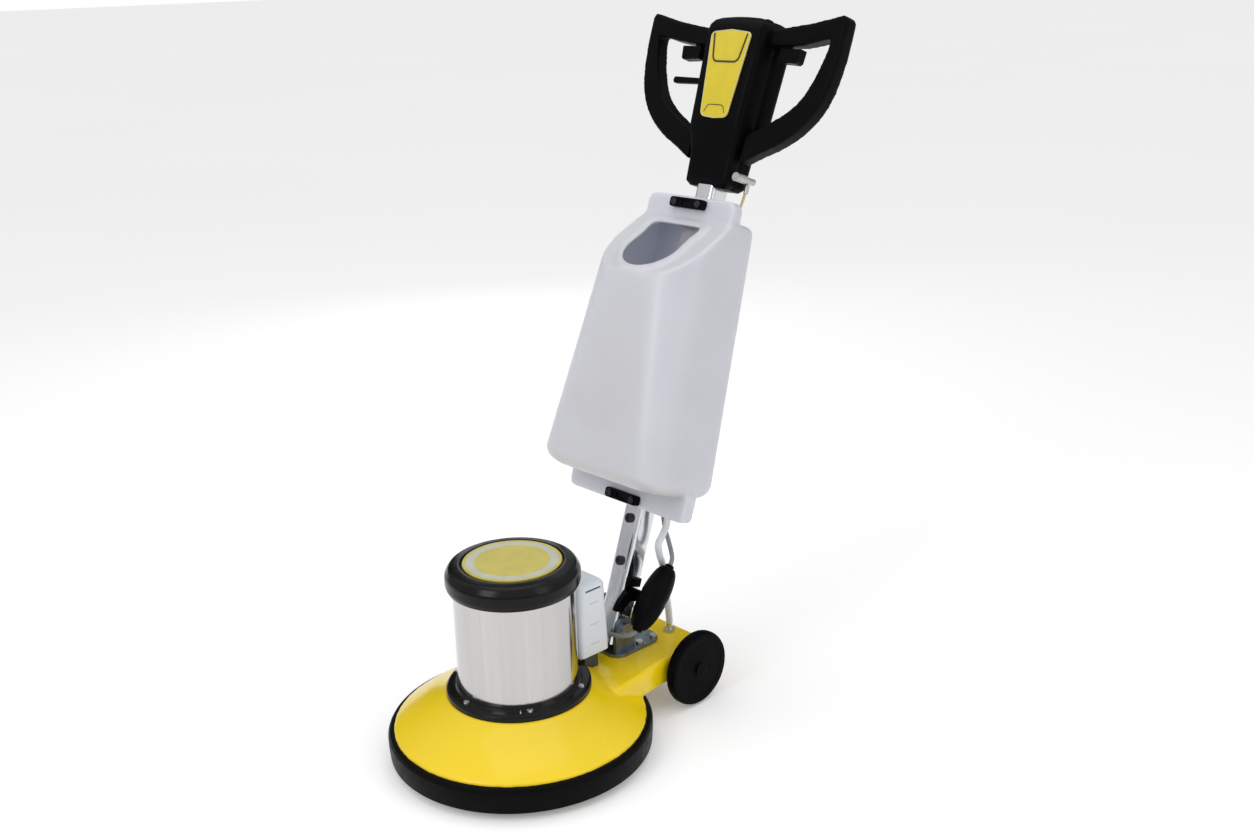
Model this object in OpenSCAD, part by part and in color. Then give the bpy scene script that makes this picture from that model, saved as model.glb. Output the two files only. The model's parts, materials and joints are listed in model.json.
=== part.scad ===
// Walk-behind rotary floor scrubber: round deck with a spinning brush, upright motor,
// tilting handle with a saddle-shaped solution tank, and a grip head with two triggers.
// Origin: brush spin axis on the floor. +Z up, -Y to the front, +X to the left of the operator.

/* [Deck and bumper] */
// Radius of the deck casting where the bumper grips it
deck_r = 212; // [206:1:213]
// Outer radius of the rubber bumper
bumper_r = 220; // [218:1:226]
// Height of the bumper
bumper_h = 45; // [38:1:47]
// Gap between the floor and the bumper
bumper_lift = 12; // [8:1:14]
// Height of the deck's flat top above the floor
deck_top = 113; // [111:1:116]
// Height of the flat rear neck above the floor
neck_top = 100; // [96:1:102]
// Rear end of the neck
neck_rear = 356; // [352:1:364]

/* [Motor] */
// Radius of the black flange under the motor
flange_r = 120; // [116:1:122]
// Height of that flange
flange_h = 19; // [17:1:22]
// Outer radius of the stainless motor shell
shell_r = 99.4; // [98:0.1:100]
// Height of the shell's top edge above the floor
shell_top = 304; // [302:1:306]
// Outer radius of the motor cap
cap_r = 110; // [108:0.5:114]
// Height of the top of the cap above the floor
cap_top = 339; // [338:1:344]
// Radius of the round plate on the cap
label_r = 80; // [70:1:84]

/* [Wheels] */
// Radius of a transport wheel
wheel_r = 67; // [62:1:68]
// Width of a transport wheel
wheel_w = 19; // [16:1:20]
// Outer face of each wheel, from the middle of the machine
wheel_x = 123.5; // [123:0.5:128]
// Axle position behind the brush axis
axle_y = 304; // [300:1:308]
// Axle height above the floor
axle_z = 69.5; // [69:0.5:74]

/* [Brush drive] */
// Radius of the brush block
brush_r = 192; // [180:1:196]
// Length of the bristles below the block
bristle_h = 24; // [20:1:25]
// Teeth of the sun pinion on the motor shaft
sun_teeth = 12; // [12]
// Teeth of each planet gear
planet_teeth = 45; // [45]
// Gear module
gear_m = 1.25; // [1.2:0.05:1.3]

/* [Handle] */
// Lean of the handle from upright, in degrees
lean = 19.6; // [10:0.1:30]
// Pivot position behind the brush axis
pivot_y = 217; // [214:1:220]
// Pivot height above the floor
pivot_z = 145; // [144:1:148]
// Width of the handle tube across the machine
tube_w = 40; // [38:1:40]
// Depth of the handle tube
tube_d = 42; // [40:1:42]
// Length of the handle tube above the pivot
tube_len = 905; // [880:1:930]

/* [Tank] */
// Half width of the tank at its bottom tab
tank_low_w = 144; // [136:1:150]
// Half width of the tank at its top tab
tank_high_w = 102; // [98:1:108]
// Distance from the tube's centre to the tank's front face
tank_front = 139; // [130:1:146]
// Wall of the tank
tank_wall = 4; // [3:0.5:5]

/* [Hidden] */
$fn = 64;

deck_wall = 6;
box_rear = 173;
box_top = 262;
rim_z = bumper_lift + bumper_h - 1;
neck_low = 52;
shell_low = deck_top + flange_h;
shell_wall = 1.6;
centre_r = 61;
fit = 0.05;
shaft_r = 10;
rotor_low = 170;
rotor_high = 246;
pin_r = 8;

// Gear train: fixed ring, three planets, sun on the motor shaft, carrier drives the brush.
ring_teeth = sun_teeth + 2 * planet_teeth;
carrier_r = gear_m * (sun_teeth + planet_teeth) / 2;
gear_low = 84;
gear_high = 98;
tooth_w = 1.24 * gear_m;
space_w = PI * gear_m - tooth_w;

// Brush stack
block_low = bristle_h;
block_high = 44;
plate_high = 54;

// Tank levels along the tube, measured from the pivot
tab_low = 217;
bulge_low = 257;
leg_high = 719;
tab_high = 751;
shoulder_y = -44;
shoulder_t = 716;
tank_back = 15;
channel_w = 24;

// Head levels along the tube
head_low = 774;
head_high = 1057;
grip_y = -3;
trigger_low = 990;
trigger_high = 1016;

// Fittings, in the machine's own axes
gland_at = [16, 144];
bracket_holes = [[-28, 250], [28, 250], [-28, 284], [28, 284]];
hose_end = [25, 328];

// Fittings, measured along the tube
tab_front = -47;
tab_back = -22;
clip_levels = [229, 738];
clip_x = [-27, 27];
outlet_at = [58, 2, 231];
lever_at = [27.4, 3, 62];
lever_w = 10;
connector_low = [64, -12, 9];
connector_tilt = 22.5;
connector_long = 128;
head_face = -36;
split_y = -2;
lever_pin = [-68, 955];
trigger_pin = [98, 1019];
button_t = 1010;
inlet_at = [0, 850];
adjuster_at = [59, 797];
pull_y = 19;

black = [0.05, 0.05, 0.06];
yellow = [0.93, 0.77, 0.1];
steel = [0.75, 0.76, 0.78];
milky = [0.87, 0.88, 0.92];
copper = [0.72, 0.42, 0.22];

// ---- shared shapes ----

// Rectangle with round corners, centred
module round_rect(w, d, r) {
    square([w - 2 * r, d], center = true);
    square([w, d - 2 * r], center = true);
    for (x = [-1, 1], y = [-1, 1])
        translate([x * (w / 2 - r), y * (d / 2 - r)]) circle(r);
}

module ring(ro, ri, z0, z1) {
    translate([0, 0, z0]) difference() {
        cylinder(h = z1 - z0, r = ro);
        translate([0, 0, -1]) cylinder(h = z1 - z0 + 2, r = ri);
    }
}

// Cylinder along X between two x positions
module rod_x(x0, x1, r) {
    translate([x0, 0, 0]) rotate([0, 90, 0]) cylinder(h = x1 - x0, r = r);
}

// Cylinder along Y between two y positions
module rod_y(y0, y1, r) {
    translate([0, y0, 0]) rotate([-90, 0, 0]) cylinder(h = y1 - y0, r = r);
}

// Places things that are measured from the pivot, along the leaning tube
module on_handle() {
    translate([0, pivot_y, pivot_z]) rotate([-lean, 0, 0]) children();
}

// A point measured along the leaning tube, in the machine's own axes
function from_handle(p) = [
    p[0],
    pivot_y + p[1] * cos(lean) + p[2] * sin(lean),
    pivot_z - p[1] * sin(lean) + p[2] * cos(lean)
];

// Gear outline: four points a tooth, with a set tooth width on the pitch circle
function gear_points(n, out, in, w) = let (r = gear_m * n / 2) [
    for (i = [0:n - 1], k = [0:3]) let (
        tip = k == 1 || k == 2,
        radius = tip ? r + out : r - in,
        half = (w / 2 + (tip ? -out : in) * tan(20)) / radius * 180 / PI,
        a = 360 * i / n + (k < 2 ? -half : half)
    ) radius * [cos(a), sin(a)]
];

// Smooth curve through the points of a route, six steps between each two
function bend(a, b, c, d, u) = 0.5 * (2 * b + (c - a) * u + (2 * a - 5 * b + 4 * c - d) * u * u
    + (3 * b - a - 3 * c + d) * u * u * u);
function smooth(p, steps = 4) = [
    for (i = [0:len(p) - 2], k = [0:steps - 1])
        bend(p[max(i - 1, 0)], p[i], p[i + 1], p[min(i + 2, len(p) - 1)], k / steps),
    p[len(p) - 1]
];

// Tube of a set radius swept along a route
module sweep(path, radius, sides = 10) {
    n = len(path);
    ring_at = [for (i = [0:n - 1]) let (
        t = path[min(i + 1, n - 1)] - path[max(i - 1, 0)],
        f = t / norm(t),
        e = cross([1, 0, 0], f),
        u = e / norm(e),
        v = cross(f, u)
    ) [for (k = [0:sides - 1]) path[i] + radius * (u * cos(360 * k / sides) + v * sin(360 * k / sides))]];
    points = [for (r = ring_at) each r];
    walls = [for (i = [0:n - 2], k = [0:sides - 1]) let (m = (k + 1) % sides)
        [i * sides + k, (i + 1) * sides + k, (i + 1) * sides + m, i * sides + m]];
    caps = [[for (k = [0:sides - 1]) k], [for (k = [0:sides - 1]) n * sides - 1 - k]];
    polyhedron(points, concat(walls, caps), convexity = 4);
}

// ---- deck ----

// Outline of the domed deck from the rim up to the flat top
deck_dome = [
    [deck_r, rim_z], [deck_r - 3, rim_z + 3], [deck_r - 20, rim_z + 15],
    [deck_r - 48, rim_z + 32.5], [deck_r - 74, rim_z + 47], [flange_r + 2, deck_top]
];

module deck_solid(drop) {
    rotate_extrude($fn = 128) polygon(concat(
        [[0, bumper_lift + 3], [deck_r - 4 - drop, bumper_lift + 3], [deck_r - 4 - drop, rim_z - drop]],
        [for (p = deck_dome) [p[0] - drop * 0.6, p[1] - drop]],
        [[0, deck_top - drop]]
    ));
}

// Two blended blocks that carry the hinge and the axle behind the deck
module neck_block(gap) {
    reach = neck_rear - 9 - gap;
    for (plan = [[[104, 150], [88, 236]], [[86, 210], [84, reach]]])
        hull() for (side = [-1, 1], p = plan) translate([side * (p[0] - gap), p[1], neck_low]) {
            cylinder(h = 20, r = 9, $fn = 32);
            translate([0, 0, neck_top - neck_low - gap - 9]) sphere(9, $fn = 32);
        }
}

module deck_casting() {
    color(yellow) difference() {
        union() {
            deck_solid(0);
            neck_block(0);
        }
        deck_solid_inside();
        neck_hollow();
        translate([0, 0, 60]) cylinder(h = 60, r = 22);
        translate([0, axle_y, axle_z]) rod_x(-120, 120, pin_r + fit);
        translate([0, 0, deck_top - 12]) bolt_circle(3, 20, 108, 6);
    }
}

module deck_solid_inside() {
    difference() {
        translate([0, 0, -0.5]) deck_solid(deck_wall);
        ring(96, 81, deck_top - 26, deck_top);
    }
    translate([0, 0, bumper_lift - 10]) cylinder(h = 20, r = deck_r - 10, $fn = 128);
}

module neck_hollow() {
    for (z = [0, -12]) translate([0, 0, z]) difference() {
        neck_block(6);
        translate([-150, 100, 0]) cube([300, 110, 200]);
    }
    translate([-70, 180, 20]) cube([140, 60, neck_top - 35]);
}

module bolt_circle(r, h, at_r, count) {
    for (i = [0:count - 1]) rotate(30 + 360 * i / count) translate([at_r, 0, 0]) cylinder(h = h, r = r);
}

module bumper_ring() {
    gap = deck_r - 4 + fit;
    color(black) difference() {
        rotate_extrude($fn = 128) polygon([
            [gap, bumper_lift], [bumper_r - 4, bumper_lift], [bumper_r, bumper_lift + 6],
            [bumper_r, rim_z - 9], [bumper_r - 2, rim_z - 3], [bumper_r - 6, rim_z - fit],
            [gap, rim_z - fit]
        ]);
        translate([0, 0, -fit]) neck_block(-fit);
    }
}

// ---- motor ----

module motor_flange() {
    color(black) difference() {
        rotate_extrude($fn = 128) polygon([
            [0, deck_top], [flange_r, deck_top], [flange_r, deck_top + 8], [flange_r - 3, deck_top + 11],
            [shell_r + 4, deck_top + 13], [shell_r + 3, shell_low], [shell_r - 8, shell_low], [0, shell_low]
        ]);
        translate([0, 0, deck_top - 1]) cylinder(h = flange_h + 2, r = 12);
        translate([0, 0, shell_low - 15]) cylinder(h = 20, r = 23.5 + fit);
        translate([0, 0, deck_top - 1]) bolt_circle(3.2, 20, 108, 6);
        translate([0, 0, deck_top + 11.5]) bolt_circle(5.5, 20, 108, 6);
        translate([0, 0, shell_low - 4]) cylinder(h = 5, r = 88);
    }
}

// Six screws through the motor flange and four bolts through the hinge bracket
module deck_bolts() {
    color("gainsboro") {
        translate([0, 0, deck_top - 9]) bolt_circle(3 - fit, 22, 108, 6);
        translate([0, 0, deck_top + 12]) bolt_circle(5, 3, 108, 6);
        for (p = bracket_holes) translate([p[0], p[1], neck_top + 0.1]) {
            cylinder(h = 8, r = 4.4);
            translate([0, 0, 6.2]) cylinder(h = 5, r = 7, $fn = 6);
        }
    }
}

module motor_shell() {
    color(steel) ring(shell_r, shell_r - shell_wall, shell_low, shell_top, $fn = 128);
}

module motor_cap() {
    low = shell_top - 6;
    curve = 20;
    color(black) difference() {
        rotate_extrude($fn = 128) polygon(concat(
            [[shell_r + 0.6, low], [cap_r - 4, low], [cap_r - 1.5, low + 3], [cap_r, low + 9]],
            [for (a = [0:15:90]) [cap_r - curve + curve * cos(a), cap_top - curve + curve * sin(a)]],
            [[label_r + 3, cap_top], [label_r + 1, cap_top - 2], [0, cap_top - 2],
             [0, cap_top - 6], [cap_r - 16, cap_top - 6], [cap_r - 6, cap_top - 18],
             [cap_r - 6, shell_top + 2.2], [shell_r - 6, shell_top + 2.2], [shell_r - 6, shell_top + 0.2],
             [shell_r + 0.6, shell_top + 0.2]]
        ));
    }
}

// Round plate on the cap, and its outer rim
module cap_plate() {
    color(yellow) {
        rotate_extrude($fn = 128) polygon([
            [0, cap_top - 1.9], [centre_r, cap_top - 1.9], [centre_r, cap_top + 0.4], [0, cap_top + 0.8]
        ]);
        ring(label_r, label_r - 5, cap_top - 1.9, cap_top + 0.4, $fn = 128);
    }
}

module cap_ring() {
    color(steel) ring(label_r - 5.1, centre_r + 0.1, cap_top - 1.9, cap_top + 0.4, $fn = 128);
}

module end_bell() {
    color("gray") difference() {
        union() {
            ring(shell_r - shell_wall - 0.2, 26, shell_top - 14, shell_top - 8);
            ring(30, 20 + fit, shell_top - 22, shell_top - 6);
        }
        bolt_circle(9, 400, 62, 6);
    }
}

module stator_core() {
    color("gray") difference() {
        ring(shell_r - shell_wall - 0.2, 58, 168, 248, $fn = 128);
        for (i = [0:23]) rotate(15 * i) translate([66, 0, 160]) cylinder(h = 100, r = 4.5, $fn = 8);
    }
}

module stator_windings() {
    color(copper) for (z = [[146, 167.5], [248.5, 272]])
        translate([0, 0, (z[0] + z[1]) / 2]) rotate_extrude() translate([75, 0]) circle((z[1] - z[0]) / 2);
}

module bearings() {
    color(steel) {
        bearing(27, 15, 61, 74.5);
        bearing(23.5, shaft_r, shell_low - 14.8, shell_low - 0.8);
        bearing(20, shaft_r, shell_top - 21, shell_top - 8);
    }
}

module bearing(ro, ri, z0, z1) {
    difference() {
        ring(ro, ri + fit, z0, z1);
        for (z = [z0, z1]) translate([0, 0, z]) rotate_extrude() translate([(ro + ri) / 2, 0]) circle(1.6);
    }
}

module capacitor_box() {
    color("white") difference() {
        hull() {
            for (x = [-27, 27], y = [116, box_rear - 8])
                translate([x, y, 130]) cylinder(h = 20, r = 8, $fn = 32);
            for (x = [-21, 21], y = [122, box_rear - 16])
                translate([x, y, box_top - 14]) sphere(14, $fn = 32);
        }
        translate([0, 140.5, 133]) linear_extrude(box_top - 10 - 133) round_rect(62, box_rear - 116, 7);
        for (side = [-1, 1]) translate([side * 35, 140, 0]) {
            translate([0, 0, box_top - 12]) cube([4, 34, 3], center = true);
            for (z = [151, 187, 226]) translate([0, 0, z]) cube([3, 20, 2], center = true);
        }
        translate([0, 137, 120]) cylinder(h = 20, r = 8 + fit);
        translate([gland_at[0], 0, gland_at[1]]) rod_y(box_rear - 12, box_rear + 5, 7 + fit);
    }
}

module run_capacitors() {
    color("lightgray") for (y = [127, 147]) translate([y == 127 ? -11 : 11, y, 150]) {
        cylinder(h = 84, r = 12);
        for (x = [-4, 4]) translate([x, 0, 84]) cylinder(h = 8, r = 1.5);
    }
}

module box_stand() {
    color("dimgray") difference() {
        translate([-26, 123, 98]) cube([52, 30, 31.8]);
        deck_solid(-0.1);
        neck_block(-0.1);
        translate([-18, 110, 90]) cube([36, 60, 34]);
        translate([0, 137, 110]) cylinder(h = 40, r = 9);
        ring(flange_r + 0.4, 80, 90, 140);
    }
}

module cable_glands() {
    color(black) {
        translate([0, 137, 122]) cylinder(h = 20, r = 8);
        translate([0, 137, 118]) cylinder(h = 8, r = 8.6, $fn = 6);
        translate([gland_at[0], 0, gland_at[1]]) {
            rod_y(box_rear - 9, box_rear + 6, 7);
            rod_y(box_rear + 0.1, box_rear + 4, 10, $fn = 6);
        }
    }
}

// ---- gearbox and brush ----

module gear_housing() {
    color("gray") difference() {
        ring(80, 27 + fit, 60, deck_top - deck_wall - 0.6);
        translate([0, 0, 75]) cylinder(h = 60, r = 72);
    }
}

module ring_gear() {
    color("dimgray") difference() {
        translate([0, 0, gear_low]) cylinder(h = gear_high - gear_low, r = 72 - fit);
        translate([0, 0, gear_low - 1]) linear_extrude(gear_high - gear_low + 2)
            rotate(180 / ring_teeth) polygon(gear_points(ring_teeth, 1.5, 1.1, space_w));
    }
}

module motor_shaft() {
    color(steel) {
        translate([0, 0, gear_high + 0.3]) cylinder(h = shell_top + 18 - gear_high, r = shaft_r - 2);
        for (z = [[shell_low - 16, rotor_low - 0.1], [rotor_high + 0.1, shell_top - 6]])
            translate([0, 0, z[0]]) cylinder(h = z[1] - z[0], r = shaft_r);
        translate([0, 0, gear_low]) linear_extrude(gear_high - gear_low + 2) rotate(180 / sun_teeth)
            polygon(gear_points(sun_teeth, 1.1, 1.5, tooth_w));
    }
}

module rotor_core() {
    color("gray") {
        difference() {
            ring(57, shaft_r - 1.9, rotor_low, rotor_high, $fn = 96);
            for (i = [0:17]) rotate(20 * i) translate([50, 0, 160]) cylinder(h = 100, r = 3, $fn = 8);
        }
        for (z = [rotor_low - 10, rotor_high]) ring(54, 40, z, z + 10);
    }
}

module cooling_fan() {
    low = shell_top + 4;
    color(black) {
        ring(24, shaft_r - 1.9, low, low + 12);
        difference() {
            ring(84, 23, low, low + 2);
            bolt_circle(8, 20, 40, 6);
        }
        for (i = [0:8]) rotate(40 * i) translate([30, -1.2, low + 1.5]) cube([50, 2.4, 14]);
    }
}

module planet_carrier() {
    color("dimgray") {
        translate([0, 0, 76]) cylinder(h = 6, r = 46);
        translate([0, 0, plate_high]) cylinder(h = 76 - plate_high, r = 15);
        for (i = [0:2]) rotate(120 * i) translate([carrier_r, 0, 81]) cylinder(h = 18, r = 5);
    }
}

module planet_gear(i) {
    color("silver") rotate(120 * i) translate([carrier_r, 0, gear_low]) difference() {
        linear_extrude(gear_high - gear_low) rotate(180)
            polygon(gear_points(planet_teeth, 1.1, 1.5, tooth_w));
        translate([0, 0, -1]) cylinder(h = 30, r = 5 + fit);
        for (k = [0:4]) rotate(72 * k) translate([16, 0, -1]) cylinder(h = 30, r = 4.5);
    }
}

module planet_gear_1() { planet_gear(0); }
module planet_gear_2() { planet_gear(1); }
module planet_gear_3() { planet_gear(2); }

module drive_plate() {
    color("dimgray") difference() {
        union() {
            ring(75, 8, block_high, plate_high - 0.1);
            for (i = [0:2]) rotate(60 + 120 * i) translate([58, 0, block_high - 10]) cylinder(h = 12, r = 9);
        }
        translate([0, 0, block_high - 1]) bolt_circle(6, 20, 40, 6);
    }
}

module brush_block() {
    color(black) difference() {
        ring(brush_r - 4, 40, block_low, block_high - 0.1, $fn = 128);
        for (i = [0:2]) rotate(60 + 120 * i) translate([58, 0, block_high - 11]) cylinder(h = 12, r = 9.4);
    }
}

module bristles() {
    color("gray") ring(brush_r, 62, 0, block_low - 0.05, $fn = 128);
}

// ---- wheels ----

module wheel(side) {
    color(black) translate([side * (wheel_x - wheel_w / 2), axle_y, axle_z]) rotate([0, side * 90, 0])
        rotate_extrude($fn = 96) polygon([
            [pin_r + 0.08, -wheel_w / 2], [22, -wheel_w / 2], [24, -wheel_w / 2 + 4],
            [wheel_r - 14, -wheel_w / 2 + 4], [wheel_r - 12, -wheel_w / 2], [wheel_r - 3, -wheel_w / 2],
            [wheel_r, -wheel_w / 2 + 3], [wheel_r, wheel_w / 2 - 3], [wheel_r - 3, wheel_w / 2],
            [pin_r + 0.08, wheel_w / 2]
        ]);
}

module left_wheel() { wheel(1); }
module right_wheel() { wheel(-1); }

module wheel_axle() {
    color(steel) translate([0, axle_y, axle_z]) {
        rod_x(-wheel_x - 1, wheel_x + 1, pin_r);
        for (side = [-1, 1]) translate([side * (wheel_x + 1.5), 0, 0]) rod_x(-1.2, 1.2, pin_r + 3);
        for (side = [-1, 1]) translate([side * (wheel_x - wheel_w - 2.5), 0, 0]) rod_x(-2, 2, pin_r + 5);
    }
}

// ---- hinge ----

module hinge_bracket() {
    plate_t = 6;
    color(steel) difference() {
        union() {
            translate([0, 242, neck_top]) linear_extrude(plate_t) round_rect(78, 112, 24);
            for (side = [-1, 1]) translate([side * (tube_w / 2 + 4), pivot_y, 0]) {
                translate([0, 0, pivot_z]) rod_x(-3.4, 3.4, 22);
                translate([-3.4, -22, neck_top + plate_t - 1]) cube([6.8, 44, pivot_z - neck_top - plate_t]);
            }
        }
        translate([0, pivot_y, pivot_z]) rod_x(-60, 60, pin_r + fit);
        for (p = bracket_holes) translate([p[0], p[1], neck_top - 1]) cylinder(h = 10, r = 4.5);
    }
}

module pivot_pin() {
    color(steel) translate([0, pivot_y, pivot_z]) {
        rod_x(-30, 30, pin_r);
        for (side = [-1, 1]) translate([side * 30.5, 0, 0]) rod_x(-2.9, 2.9, pin_r + 4);
    }
}

module hinge_knuckle() {
    w = tube_w - 6.4;
    d = tube_d - 6.4;
    color("gray") on_handle() difference() {
        translate([0, 0, -26]) linear_extrude(196) round_rect(w, d, 5);
        rod_x(-40, 40, pin_r + fit);
    }
}

module handle_tube() {
    color(steel) on_handle() difference() {
        translate([0, 0, -30]) linear_extrude(tube_len + 30) difference() {
            round_rect(tube_w, tube_d, 7);
            round_rect(tube_w - 6, tube_d - 6, 4);
        }
        rod_x(-40, 40, pin_r + fit);
        for (t = [116, 192]) translate([0, 0, t]) rod_y(-30, -10, 4.2);
    }
}

module tube_screws() {
    color(black) on_handle() for (t = [116, 192]) translate([0, 0, t]) difference() {
        union() {
            rod_y(-tube_d / 2 - 4, -tube_d / 2 - 0.1, 8.5);
            rod_y(-tube_d / 2 - 1, -tube_d / 2 + 3.1, 4);
        }
        rod_y(-tube_d / 2 - 6, -tube_d / 2 - 2.5, 4.5, $fn = 6);
    }
}

// Curved foot lever at the side of the tube that frees the tilt
module release_lever() {
    color(black) on_handle() translate(lever_at) rotate([90, 0, 90]) difference() {
        union() {
            linear_extrude(lever_w, center = true) difference() {
                translate([0, -29]) circle(40);
                translate([3, -35]) circle(27);
                translate([-60, -100]) square([120, 71]);
            }
            cylinder(h = lever_w, r = 10, center = true);
        }
        cylinder(h = 40, r = 4 + fit, center = true);
    }
}

module lever_mount() {
    face = tube_w / 2 + 0.1;
    color(black) on_handle() {
        translate([face, -17, 76]) cube([6, 32, 15]);
        translate([0, lever_at[1], lever_at[2]]) {
            rod_x(face, lever_at[0] + lever_w / 2 + 1, 4);
            rod_x(face, lever_at[0] - lever_w / 2 - 0.3, 9);
            rod_x(lever_at[0] + lever_w / 2 + 0.4, lever_at[0] + lever_w / 2 + 3, 7);
        }
    }
}

// ---- tank ----

function arc_points(c, rx, ry, a0, n) = [
    for (i = [0:n]) let (a = a0 + 90 * i / n) [c[0] + rx * cos(a), c[1] + ry * sin(a)]
];

// One level of the tank: flat back, wide front corners, pulled in by cut
function tank_ring(t, cut, pull) = let (
    u = (t - bulge_low) / (leg_high - bulge_low),
    w = tank_low_w - (t - tab_low) * (tank_low_w - tank_high_w) / (tab_high - tab_low) - cut - pull,
    f = tank_front + 4 + 18 * u - cut - 1.3 * pull,
    b = tank_back - cut - pull / 2,
    rx = 34 + 56 * u,
    ry = 42 + 44 * u,
    plan = concat(
        arc_points([w - 12, b - 12], 12, 12, 0, 3),
        arc_points([-w + 12, b - 12], 12, 12, 90, 3),
        arc_points([-w + rx, -f + ry], rx, ry, 180, 8),
        arc_points([w - rx, -f + ry], rx, ry, 270, 8)
    )
) [for (p = plan) [p[0], p[1], t]];

module loft(rings) {
    n = len(rings[0]);
    last = len(rings) - 1;
    walls = [for (i = [0:last - 1], k = [0:n - 1]) let (m = (k + 1) % n)
        [i * n + k, (i + 1) * n + k, (i + 1) * n + m, i * n + m]];
    caps = [[for (k = [0:n - 1]) k], [for (k = [0:n - 1]) (last + 1) * n - 1 - k]];
    polyhedron([for (r = rings) each r], concat(walls, caps), convexity = 6);
}

module tank_form(cut) {
    low = bulge_low + cut;
    high = leg_high - cut;
    edge = 30 - cut;
    loft(concat(
        [for (a = [0:18:90]) tank_ring(low + edge * (1 - cos(a)), cut, edge * (1 - sin(a)))],
        [for (k = [1:5]) tank_ring(low + edge + (high - low - edge - 10) * k / 5, cut, 0)],
        [for (a = [30:30:90]) tank_ring(high - 10 + 10 * sin(a), cut, 10 * (1 - cos(a)))]
    ));
}

// Sloping shoulder that holds the filling mouth
module on_shoulder() {
    translate([0, shoulder_y, shoulder_t]) rotate([45, 0, 0]) children();
}

module above_shoulder(cut) {
    on_shoulder() translate([-200, -320, -cut]) cube([400, 331, 260]);
}

module mouth_outline(grow) {
    hull() {
        translate([0, -90]) circle(56 + grow);
        for (x = [-1, 1]) translate([x * 46, -36]) circle(12 + grow);
    }
}

module tank_tab(t, half, tall) {
    y = (tab_back + tab_front) / 2;
    translate([0, 0, t]) rotate([90, 0, 0]) linear_extrude(tab_back - tab_front, center = true)
        round_rect(2 * half, tall, 14);
}

module tank_shell() {
    color(milky) on_handle() difference() {
        union() {
            difference() {
                tank_form(0);
                above_shoulder(0);
            }
            intersection() {
                on_shoulder() linear_extrude(3.5) mouth_outline(12);
                translate([-200, -tank_front - 24, 300]) cube([400, 300, 500]);
            }
            translate([0, (tab_front + tab_back) / 2, 0]) {
                tank_tab(tab_high - 30, tank_high_w - 2, 60);
                tank_tab(tab_low + 28, tank_low_w - 3, 56);
            }
        }
        difference() {
            tank_form(tank_wall);
            above_shoulder(tank_wall);
            translate([-channel_w - tank_wall, -channel_w - tank_wall, 0])
                cube([2 * (channel_w + tank_wall), 200, 900]);
        }
        on_shoulder() translate([0, 0, -tank_wall - 30]) linear_extrude(50) mouth_outline(0);
        translate([-channel_w, -channel_w, 0]) cube([2 * channel_w, 200, 900]);
        for (t = clip_levels, x = clip_x) translate([x, 0, t]) rod_y(-60, 0, 3.2);
        translate([outlet_at[0], outlet_at[1], bulge_low - 10]) cylinder(h = 30, r = 9 + fit);
    }
}

module tank_outlet() {
    color(black) on_handle() translate(outlet_at) {
        translate([0, 0, 12]) cylinder(h = bulge_low + 10 - outlet_at[2] - 12, r = 9);
        translate([0, 0, 8]) cylinder(h = 10, r = 12, $fn = 6);
        cylinder(h = 10, r = 5);
        translate([-12, 11, 14]) cube([12, 8, 8]);
        translate([0, 0, 18]) rod_y(0, 14, 4);
    }
}

module tank_clamps() {
    color(black) on_handle() for (t = clip_levels) translate([0, 0, t - 9]) linear_extrude(18)
        difference() {
            translate([0, (tab_back + 27) / 2]) round_rect(66, 27 - tab_back - 0.2, 6);
            translate([-tube_w / 2 - 0.3, -60]) square([tube_w + 0.6, 60.3 + tube_d / 2]);
            for (x = clip_x) translate([x - 3.2, -30]) square([6.4, 20]);
        }
}

module tank_clips() {
    color(black) on_handle() for (t = clip_levels) translate([0, tab_front - 0.1, t]) rotate([90, 0, 0])
        difference() {
            linear_extrude(9) round_rect(78, 17, 6);
            for (x = clip_x) translate([x, 0, -1]) cylinder(h = 12, r = 3.2);
            translate([0, 0, 6]) linear_extrude(4) round_rect(24, 10, 3);
        }
}

module clip_screws() {
    color(steel) on_handle() for (t = clip_levels, x = clip_x) translate([x, 0, t]) {
        rod_y(tab_front - 10, -14, 3);
        rod_y(tab_front - 12, tab_front - 9.2, 6);
    }
}

// ---- head ----

// One level of the head: front and rear half widths, front and rear faces
function head_ring(t, wf, wr, yf, yb, cut) = let (r = 9) [
    for (p = concat(
        arc_points([wr - cut - r, yb - cut - r], r, r, 0, 3),
        arc_points([-wr + cut + r, yb - cut - r], r, r, 90, 3),
        arc_points([-wf + cut + r, yf + cut + r], r, r, 180, 3),
        arc_points([wf - cut - r, yf + cut + r], r, r, 270, 3)
    )) [p[0], p[1], t]
];

module head_form(cut) {
    loft([
        head_ring(head_low + cut, 40, 42, -18, 24, cut),
        head_ring(head_low + 7 + cut, 47, 50, -24, 29, cut),
        head_ring(826, 48, 54, -26, 30, cut),
        head_ring(876, 54, 75, head_face, 32, cut),
        head_ring(1040 - cut, 61, 83, head_face, 34, cut),
        head_ring(1052 - cut, 56, 77, head_face + 5, 29, cut),
        head_ring(head_high - cut, 48, 67, head_face + 12, 22, cut)
    ]);
}

module head_shell() {
    difference() {
        head_form(0);
        head_form(3.5);
        translate([0, 0, 760]) linear_extrude(40) round_rect(tube_w + 0.6, tube_d + 0.6, 7);
        translate([-100, -10, 944]) cube([50, 16, 44]);
    }
}

module head_front() {
    color(black) on_handle() {
        intersection() {
            head_shell();
            translate([-200, -200, 700]) cube([400, 200 + split_y - 0.1, 500]);
        }
        for (x = [-50, 50]) translate([x, -3, head_high - 4]) rod_y(-14, 0.8, 9);
    }
}

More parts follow.
